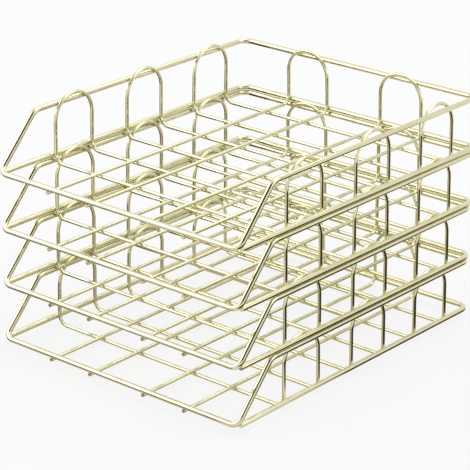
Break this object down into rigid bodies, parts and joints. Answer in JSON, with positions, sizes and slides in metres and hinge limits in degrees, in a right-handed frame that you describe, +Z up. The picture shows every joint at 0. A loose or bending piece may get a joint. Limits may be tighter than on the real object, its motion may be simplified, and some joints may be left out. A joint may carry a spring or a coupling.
{
  "type": "stacking wire letter tray set",
  "caption": "Stack of open bent-wire letter trays in polished brass, with arched wire walls, a wire floor and sloping fronts; each tray rests on the rim of the one below.",
  "frame": {"origin": "on the desk surface, under the middle of the stack", "axes": "+X across the open front to the right seen from the front, +Y from the open front to the back, +Z up"},
  "size_m": [0.2566, 0.3095, 0.2042],
  "materials": {
    "brass_wire": "polished pale brass plating on steel wire"
  },
  "bodies": {
    "tray1": {"tray1_rim_loop": "brass_wire", "tray1_base_frame": "brass_wire", "tray1_front_hoop": "brass_wire", "tray1_middle_hoop": "brass_wire", "tray1_rear_hoop": "brass_wire", "tray1_left_runner": "brass_wire", "tray1_right_runner": "brass_wire"},
    "tray2": {"tray2_rim_loop": "brass_wire", "tray2_base_frame": "brass_wire", "tray2_front_hoop": "brass_wire", "tray2_middle_hoop": "brass_wire", "tray2_rear_hoop": "brass_wire", "tray2_left_runner": "brass_wire", "tray2_right_runner": "brass_wire"},
    "tray3": {"tray3_rim_loop": "brass_wire", "tray3_base_frame": "brass_wire", "tray3_front_hoop": "brass_wire", "tray3_middle_hoop": "brass_wire", "tray3_rear_hoop": "brass_wire", "tray3_left_runner": "brass_wire", "tray3_right_runner": "brass_wire"},
    "tray4": {"tray4_rim_loop": "brass_wire", "tray4_base_frame": "brass_wire", "tray4_front_hoop": "brass_wire", "tray4_middle_hoop": "brass_wire", "tray4_rear_hoop": "brass_wire", "tray4_left_runner": "brass_wire", "tray4_right_runner": "brass_wire"}
  },
  "joints": [
    {"name": "tray2_lift", "type": "slide", "parent": "tray1", "child": "tray2", "axis": [0, 0, 1], "range_m": [0, 0.05]},
    {"name": "tray3_lift", "type": "slide", "parent": "tray2", "child": "tray3", "axis": [0, 0, 1], "range_m": [0, 0.05]},
    {"name": "tray4_lift", "type": "slide", "parent": "tray3", "child": "tray4", "axis": [0, 0, 1], "range_m": [0, 0.05]}
  ]
}
